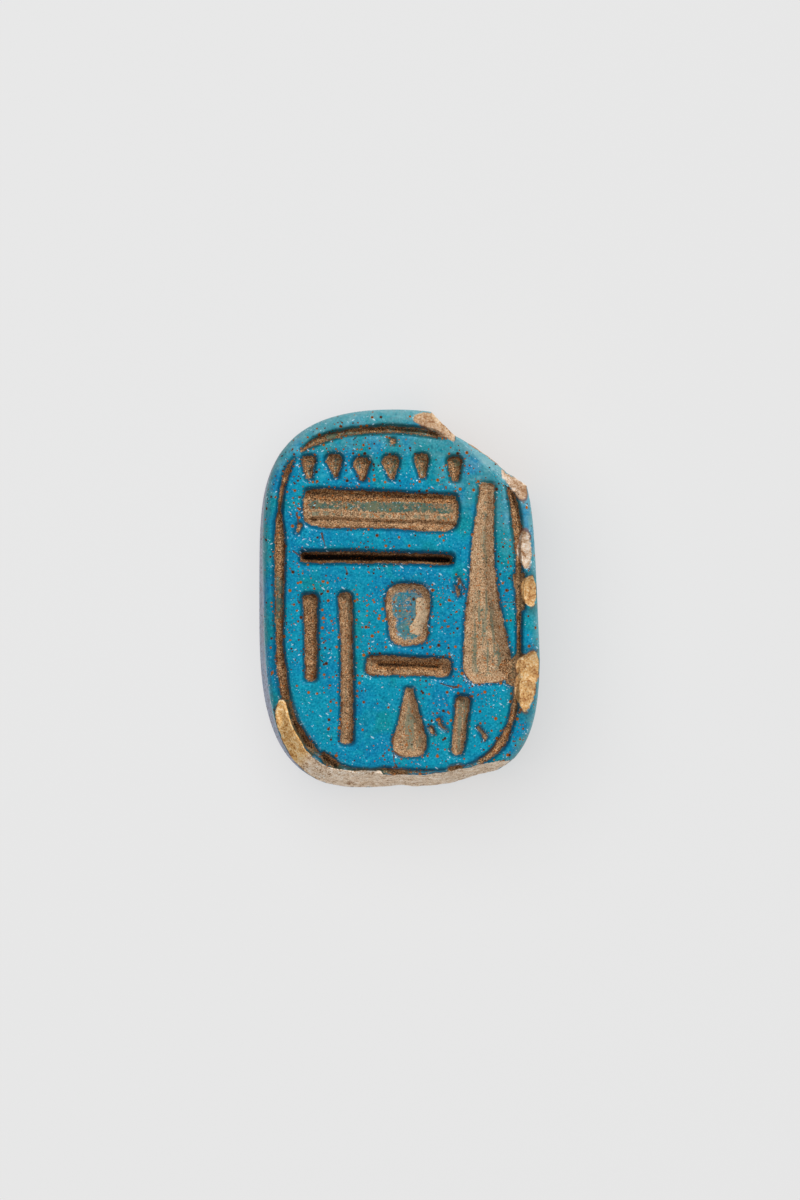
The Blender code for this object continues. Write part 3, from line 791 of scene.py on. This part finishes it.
class Tree:
    """Short calls for the nodes of one material."""

    def __init__(self, material):
        material.use_nodes = True
        self.nodes, self.links = material.node_tree.nodes, material.node_tree.links
        self.shader = self.nodes["Principled BSDF"]
        self.place = self.nodes.new("ShaderNodeTexCoord").outputs["Object"]

    def feed(self, socket, value):
        """Link another node's output, or set a number or a display colour."""
        if isinstance(value, bpy.types.NodeSocket):
            self.links.new(value, socket)
        else:
            socket.default_value = srgb(*value) if isinstance(value, tuple) else value

    def fact(self, name):
        node = self.nodes.new("ShaderNodeAttribute")
        node.attribute_name = name
        return node.outputs["Fac"]

    def math(self, operation, *values):
        node = self.nodes.new("ShaderNodeMath")
        node.operation = operation
        for socket, value in zip(node.inputs, values):
            self.feed(socket, value)
        return node.outputs[0]

    def times(self, one, other):
        return self.math('MULTIPLY', one, other)

    def plus(self, base, amount, value):
        """The base and an amount of a value."""
        return self.math('MULTIPLY_ADD', value, amount, base)

    def most(self, first, *others):
        """The greatest of some values."""
        for other in others:
            first = self.math('MAXIMUM', first, other)
        return first

    def inverse(self, value):
        return self.math('SUBTRACT', 1.0, value)

    def ramp(self, value, low, high, out_low=0.0, out_high=1.0):
        """A soft step from out_low to out_high as the value goes from low to high."""
        node = self.nodes.new("ShaderNodeMapRange")
        node.interpolation_type = 'SMOOTHSTEP'
        for socket, part in zip(node.inputs, (value, low, high, out_low, out_high)):
            self.feed(socket, part)
        return node.outputs[0]

    def noise(self, size, detail=2.0, roughness=0.5, distortion=0.0, drawn_out=(1, 1, 1)):
        """Noise between 0 and 1 with lumps of a size in millimetres, drawn out along the axes."""
        node = self.nodes.new("ShaderNodeTexNoise")
        place = self.nodes.new("ShaderNodeMapping")
        self.links.new(self.place, place.inputs["Vector"])
        self.links.new(place.outputs["Vector"], node.inputs["Vector"])
        set_inputs(place, {"Scale": [1 / share for share in drawn_out]})
        set_inputs(node, {"Scale": 1 / (size * MM), "Detail": detail, "Roughness": roughness,
                          "Distortion": distortion})
        return node.outputs["Fac"]

    def mix(self, factor, below, above):
        node = self.nodes.new("ShaderNodeMix")
        node.data_type = 'RGBA'
        self.feed(node.inputs["Factor"], factor)
        self.feed(node.inputs[6], below)
        self.feed(node.inputs[7], above)
        return node.outputs[2]

    def bands(self, value, stops):
        """A colour ramp from (position, colour) stops."""
        node = self.nodes.new("ShaderNodeValToRGB")
        elements = node.color_ramp.elements
        for index, (position, colour) in enumerate(stops):
            element = elements[index] if index < 2 else elements.new(position)
            element.position, element.color = position, srgb(*colour)
        self.feed(node.inputs["Fac"], value)
        return node.outputs["Color"]


def spots(tree, share, pitch, radius, stretch=1.0, turn=0.0):
    """Spots strewn on the unrolled skin: a spot is 1 at its middle, and each has a draw of its own.

    pitch and radius are in millimetres; share is how many places have a spot.
    """
    place = tree.nodes.new("ShaderNodeCombineXYZ")
    tree.links.new(tree.fact("sheet_x"), place.inputs["X"])
    tree.links.new(tree.fact("sheet_y"), place.inputs["Y"])
    turned = tree.nodes.new("ShaderNodeMapping")
    turned.vector_type = 'TEXTURE'
    set_inputs(turned, {"Rotation": (0, 0, turn), "Scale": (stretch, 1, 1)})
    tree.links.new(place.outputs["Vector"], turned.inputs["Vector"])
    cell = tree.nodes.new("ShaderNodeTexVoronoi")
    cell.voronoi_dimensions = '2D'
    set_inputs(cell, {"Scale": 1 / pitch})
    tree.links.new(turned.outputs["Vector"], cell.inputs["Vector"])
    draws = tree.nodes.new("ShaderNodeSeparateColor")
    tree.links.new(cell.outputs["Color"], draws.inputs["Color"])
    away = tree.times(cell.outputs["Distance"], pitch)
    wide = tree.times(tree.ramp(tree.math('POWER', draws.outputs[1], 2), 0, 1, 0.6, 1.4), radius)
    inside = tree.inverse(tree.math('DIVIDE', away, wide))
    chosen = tree.math('LESS_THAN', draws.outputs[0], share)
    return tree.times(inside, chosen), draws.outputs[2]


def pinholes(tree):
    """Pinholes in the glaze, in crowds, with fewer where the glaze is bleached and where light is painted on
    the rim.

    How much of a hole, how dark, and its dark middle.
    """
    fewer = tree.ramp(tree.fact("bleach_and_rim_light"), 0.35, 0.60, -0.01, 0.16)
    crowd = tree.math('SUBTRACT', tree.noise(2.4, 1.0), fewer)
    large, shade = spots(tree, tree.ramp(crowd, 0.34, 0.60, 0.2, 0.9), *LARGE_HOLES)
    small, _ = spots(tree, tree.ramp(crowd, 0.44, 0.62, 0.06, 0.75), *SMALL_HOLES)
    inside = tree.most(large, small)
    return tree.ramp(inside, 0.0, 0.25), shade, tree.ramp(inside, 0.4, 0.8)


def flecks_and_glints(tree):
    """Pale scratches and flecks in the glaze, with painted glints among them."""
    crowd = tree.ramp(tree.noise(1.1, 2.0), 0.38, 0.66, 0.05, 0.45)
    return tree.most(*(spots(tree, crowd, *sizes)[0] for sizes in FLECK_AND_GLINT_SIZES))


def glaze_colour(tree, inward, wall):
    """Turquoise, greyer and greener where it is worn thin, paler where bleached and where light is painted
    on the rim. Darker on the slopes into the grooves: partly glaze pooled thicker, partly painted shade.
    In the floors, olive worn glaze, which at the head's border line is painted shade of its upper wall.
    """
    fine, streaks = tree.noise(0.10, 2.0, 0.6), tree.noise(0.5, 3.0, 0.65, 0.8)
    broad, green, bleach_and_rim_light = tree.noise(3.0, 2.0), tree.noise(1.5, 2.0), tree.fact("bleach_and_rim_light")
    colour = tree.mix(tree.ramp(broad, 0.38, 0.62), GLAZE_BLUE, GLAZE_TURQUOISE)
    colour = tree.mix(tree.ramp(streaks, 0.45, 0.72, 0, 0.75), colour, GLAZE_BRIGHT)
    colour = tree.mix(tree.ramp(tree.plus(green, 0.5, bleach_and_rim_light), 0.52, 0.72, 0, 0.7), colour, GLAZE_GREEN)
    colour = tree.mix(tree.ramp(fine, 0.52, 0.70, 0, 0.4), colour, GLAZE_FROSTED)
    colour = tree.mix(tree.ramp(fine, 0.48, 0.33, 0, 0.55), colour, GLAZE_DARK)
    # Paler grey where the glaze is bleached, and painted light on the rim.
    colour = tree.mix(tree.ramp(tree.math('ADD', streaks, bleach_and_rim_light), 0.6, 1.5, 0, 0.85), colour, GLAZE_BLEACHED_AND_LIT)
    # Painted shade, partly pooled glaze: a darker band on the glazed slope just outside each groove's earth,
    # greener where the glaze is paler.
    pool_and_shade = tree.times(tree.ramp(inward, -0.19, -0.03), tree.ramp(inward, 0.12, 0.0, 0.1, 0.75))
    colour = tree.mix(pool_and_shade, colour, tree.mix(tree.ramp(bleach_and_rim_light, 0.1, 0.35), POOLED_AND_SHADED_BLUE, POOLED_AND_SHADED_GREEN))
    floor, glazed = tree.ramp(inward, 0.0, 0.12), tree.fact("glazed")
    # Olive worn glaze in the floors; at the head's border line it is also painted shade.
    colour = tree.mix(tree.times(floor, tree.ramp(glazed, 0.67, 0.84, 0.85, 0.0)), colour, GLAZE_WORN_AND_SHADED)
    stain = tree.ramp(streaks, 0.44, 0.64, 0.0, tree.ramp(glazed, 0.7, 0.9, 0.5, 0.15))
    colour = tree.mix(tree.times(floor, stain), colour, GLAZE_STAINED)
    return greyed_wall(tree, colour, streaks, wall)


def greyed_wall(tree, colour, streaks, wall):
    """Lilac grey on a wall, in patches, with dark pits."""
    wall_grey = tree.fact("wall_grey")
    on_wall = tree.times(tree.ramp(tree.plus(wall, 0.4, streaks), 0.20, 0.36), tree.ramp(wall, 0.0, 0.05))
    patches = tree.ramp(tree.plus(streaks, 0.25, wall_grey), 0.59, 0.80, tree.times(wall_grey, 0.5), 0.9)
    colour = tree.mix(tree.times(on_wall, patches), colour, WALL_GREY)
    pits = tree.ramp(tree.noise(0.15, 2.0, drawn_out=(1, 1, 2)), 0.57, 0.65, 0, wall_grey)
    return tree.mix(tree.times(on_wall, pits), colour, WALL_GREY_PITS)


def earth_colour(tree, inward):
    """Brown earth: grains of dark and light on each floor, with painted shade in the deep lines and a
    painted cream highlight where pale is over 1. Here and there at its edges it is dark rusty brown:
    partly rust, partly painted shade under the walls.
    """
    grain, lump = tree.noise(0.065, 2.0, 0.7), tree.noise(0.32, 2.0, 0.6)
    mixed, pale = tree.plus(tree.times(grain, 0.8), 0.2, lump), tree.fact("pale")
    # Below pale 0 the earth darkens to painted shade, black at -1.
    dark = tree.mix(tree.ramp(pale, 0, -1), tree.bands(mixed, BROWN_GRAINS), EARTH_PAINTED_SHADE)
    # Above pale 1 the earth pales to a painted cream highlight.
    light = tree.mix(tree.ramp(pale, 1, 2), tree.bands(mixed, TAN_GRAINS), EARTH_PAINTED_HIGHLIGHT)
    colour = tree.mix(tree.ramp(pale, 0, 1), dark, light)
    drawn = tree.ramp(tree.noise(0.17, 2.0, drawn_out=(1, 14, 1)), 0.48, 0.60, 0, 0.8)
    drawn = tree.times(drawn, tree.ramp(tree.fact("middle"), 0.2, 0.5))
    tan = tree.times(tree.ramp(pale, 0.4, 0.6), tree.ramp(pale, 1.5, 1.1))
    colour = tree.mix(tree.times(drawn, tan), colour, EARTH_GREEN)
    strewn = tree.noise(0.105, 1.0)
    colour = tree.mix(tree.ramp(strewn, 0.62, 0.70, 0, 0.8), colour, EARTH_ORANGE)
    colour = tree.mix(tree.ramp(strewn, 0.36, 0.29, 0, 0.8), colour, EARTH_SOOT)
    # Along the earth's edges, in patches: partly rust, partly painted shade under the walls.
    edge = tree.ramp(tree.plus(inward, 0.25, lump), 0.265, 0.155)
    patchy = tree.ramp(tree.noise(0.7, 2.0), 0.40, 0.56, 0.3, 0.85)
    return tree.mix(tree.times(edge, patchy), colour, EARTH_EDGE_RUST_AND_SHADE)


def core_colour(tree):
    """The bare core: buff to pinkish white, with brown grains, ochre stains and soil."""
    grain, lump, broad = tree.noise(0.09, 2.0, 0.7), tree.noise(0.35, 2.0, 0.6), tree.noise(2.2, 1.0)
    mixed = tree.plus(tree.times(grain, 0.6), 0.4, lump)
    stained = tree.ramp(tree.plus(tree.fact("ochre"), 0.6, broad), 0.30, 0.80)
    colour = tree.mix(stained, tree.bands(mixed, WHITE_GRAINS), tree.bands(mixed, OCHRE_GRAINS))
    soiled = tree.times(tree.fact("soil"), tree.ramp(lump, 0.35, 0.6, 1.3, 0.8))
    return tree.mix(soiled, colour, CORE_SOIL)


def earth_cover(tree, inward, ragged):
    """Where the earth is: in the grooves, except where their floor's glaze shows, and in cracks."""
    caught = tree.ramp(tree.plus(inward, 0.4, ragged), 0.0, 0.04)
    swept = tree.times(tree.ramp(tree.fact("middle"), 0.08, 0.45), tree.fact("glazed"))
    swept = tree.ramp(tree.plus(swept, 2.6, ragged), 0.34, 0.80, 0, 0.97)
    crack = tree.ramp(tree.plus(tree.fact("crack"), 0.06, ragged), 0.055, 0.02)
    return tree.most(tree.times(caught, tree.inverse(swept)), crack), crack


def spotted(tree, colour, clean, wall):
    """The glaze with its flecks, partly painted glints, and its pinholes. Also: where the holes are."""
    # Pale flecks on the face: partly scratches, partly painted glints.
    fleck_and_glint = tree.times(tree.ramp(flecks_and_glints(tree), 0.0, 0.35, 0, 0.8), tree.ramp(wall, 0.1, 0.0))
    colour = tree.mix(fleck_and_glint, colour, FLECK_AND_GLINT)
    hole, shade, middle = pinholes(tree)
    burnt = tree.mix(tree.ramp(shade, 0.5, 0.9), HOLE_ORANGE, HOLE_BROWN)
    colour = tree.mix(tree.times(hole, clean), colour, burnt)
    dark_middle = tree.times(middle, tree.ramp(shade, 0.1, 0.5))
    return tree.mix(tree.times(dark_middle, clean), colour, HOLE_MIDDLE), hole


def chipped(tree, colour, ragged, patches):
    """The bare core, with rust and grime along the broken edge of the glaze. Also: where it's bare."""
    past = tree.plus(tree.fact("past"), 0.16, ragged)
    rusty = tree.times(tree.ramp(past, -0.07, -0.02), tree.ramp(patches, 0.42, 0.6))
    colour = tree.mix(tree.times(rusty, 0.75), colour, RUST)
    grimy = tree.times(tree.ramp(past, -0.36, -0.06), tree.fact("grime"))
    colour = tree.mix(tree.times(grimy, tree.ramp(patches, 0.36, 0.54, 0.35, 0.85)), colour, GRIME)
    bare = tree.ramp(past, -0.015, 0.02)
    return tree.mix(bare, colour, core_colour(tree)), bare


def faience():
    """Turquoise glaze over a buff core, with earth in the carving and pinholes in the glaze."""
    material = bpy.data.materials.new("glazed_faience")
    tree = Tree(material)
    inward, wall = tree.fact("inward"), tree.fact("wall")
    fine, patches = tree.noise(0.12, 2.0, 0.6), tree.noise(0.5, 2.0, 0.6)
    ragged = tree.math('SUBTRACT', tree.plus(tree.times(fine, 0.5), 0.5, patches), 0.5)
    dirt, crack = earth_cover(tree, inward, ragged)
    colour, hole = spotted(tree, glaze_colour(tree, inward, wall), tree.inverse(dirt), wall)
    colour = tree.mix(dirt, colour, earth_colour(tree, inward))
    colour, bare = chipped(tree, colour, ragged, patches)
    tree.feed(tree.shader.inputs["Base Color"], colour)
    set_inputs(tree.shader, {"Specular IOR Level": 0.25})

    matt = tree.most(dirt, bare, hole)
    glossy = tree.ramp(tree.most(tree.fact("bleach_and_rim_light"), tree.ramp(wall, 0.0, 0.1)), 0, 1, 0.22, 0.6)
    tree.feed(tree.shader.inputs["Roughness"], tree.most(glossy, tree.ramp(matt, 0, 1, 0, 0.9)))

    relief = tree.times(fine, tree.ramp(matt, 0, 1, 0.2, 1.3))
    relief = tree.plus(relief, tree.ramp(matt, 0, 1, 1.7, 0.4), tree.noise(0.22))
    relief = tree.plus(relief, -0.9, tree.most(hole, crack))
    bump = tree.nodes.new("ShaderNodeBump")
    set_inputs(bump, {"Strength": 1.0, "Distance": RELIEF * MM})
    tree.links.new(relief, bump.inputs["Height"])
    tree.links.new(bump.outputs["Normal"], tree.shader.inputs["Normal"])
    return material


# The scene ------------------------------------------------------------

PAPER_SIZE = 1.2                # metres
PAPER_GAP = 0.02                # millimetres below the plaque
PAPER_GLOW = 0.555
PAPER_SHADE = 0.21              # the paper reflects little, so that the plaque throws no glow on it
SURROUNDINGS = 0.23
# Softboxes: direction, distance and size in metres, power in watts.
PLAQUE_LIGHTS = {
    "key": ((0.55, 0.72, 0.80), 0.6, 0.12, 3.5),
    "fill": ((-0.70, -0.70, 0.75), 0.6, 0.14, 0.95),
}
PAPER_LIGHTS = {
    "paper_light": ((-0.20, 0.20, 0.80), 0.6, 1.0, 6.0),
}
VIEW_HEIGHT = 60.15             # millimetres of the face's plane that fill the frame's height
VIEW_CENTRE = (0.05, -0.05)
LENS, SENSOR = 300.0, 36.0      # millimetres of the camera


def add_plaque():
    plaque = bpy.data.objects.new("plaque_surface", plaque_mesh())
    bpy.context.scene.collection.objects.link(plaque)
    plaque.data.materials.append(faience())
    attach(plaque, "root")
    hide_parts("plaque")


def add_floor():
    """White paper. It glows, so that the plaque's shadow on it stays as faint as in a light tent."""
    bpy.ops.mesh.primitive_plane_add(size=PAPER_SIZE)
    floor = bpy.context.object
    floor.name = "floor"
    floor.location.z = -PAPER_GAP * MM
    material = bpy.data.materials.new("paper")
    set_inputs(Tree(material).shader, {
        "Base Color": (PAPER_SHADE, PAPER_SHADE, PAPER_SHADE, 1), "Roughness": 1.0, "Specular IOR Level": 0.0,
        "Emission Color": (1, 1, 1, 1), "Emission Strength": PAPER_GLOW})
    floor.data.materials.append(material)


def add_light(name, direction, distance, size, power, lit):
    """A round softbox that points at the plaque and lights only a collection."""
    lamp = bpy.data.lights.new(name, 'AREA')
    lamp.shape = 'DISK'
    lamp.size = size
    lamp.energy = power
    made = bpy.data.objects.new(name, lamp)
    made.location = Vector(direction).normalized() * distance
    made.rotation_euler = (-made.location).to_track_quat('-Z', 'Y').to_euler()
    made.light_linking.receiver_collection = lit
    bpy.context.scene.collection.objects.link(made)


def add_lights():
    """Softboxes for the plaque alone and for the paper alone, in even white surroundings."""
    for lights, target in ((PLAQUE_LIGHTS, "plaque_surface"), (PAPER_LIGHTS, "floor")):
        lit = bpy.data.collections.new(f"lit_{target}")
        lit.objects.link(bpy.data.objects[target])
        for name, sizes in lights.items():
            add_light(name, *sizes, lit)
    world = bpy.data.worlds.new("studio")
    world.use_nodes = True
    set_inputs(world.node_tree.nodes["Background"], {"Color": (1, 1, 1, 1), "Strength": SURROUNDINGS})
    bpy.context.scene.world = world


def add_camera():
    """Straight above the plaque, framing it as a small thing in the middle of a tall field."""
    camera = bpy.data.cameras.new("camera")
    camera.lens = LENS
    camera.sensor_width = SENSOR
    camera.clip_start = 0.01
    made = bpy.data.objects.new("camera", camera)
    made.location = (VIEW_CENTRE[0] * MM, VIEW_CENTRE[1] * MM,
                     (TOP - RIM_ROUND + VIEW_HEIGHT * LENS / SENSOR) * MM)
    bpy.context.scene.collection.objects.link(made)
    bpy.context.scene.camera = made


add_plaque()
add_floor()
add_lights()
add_camera()
bpy.context.scene.view_settings.view_transform = 'Standard'
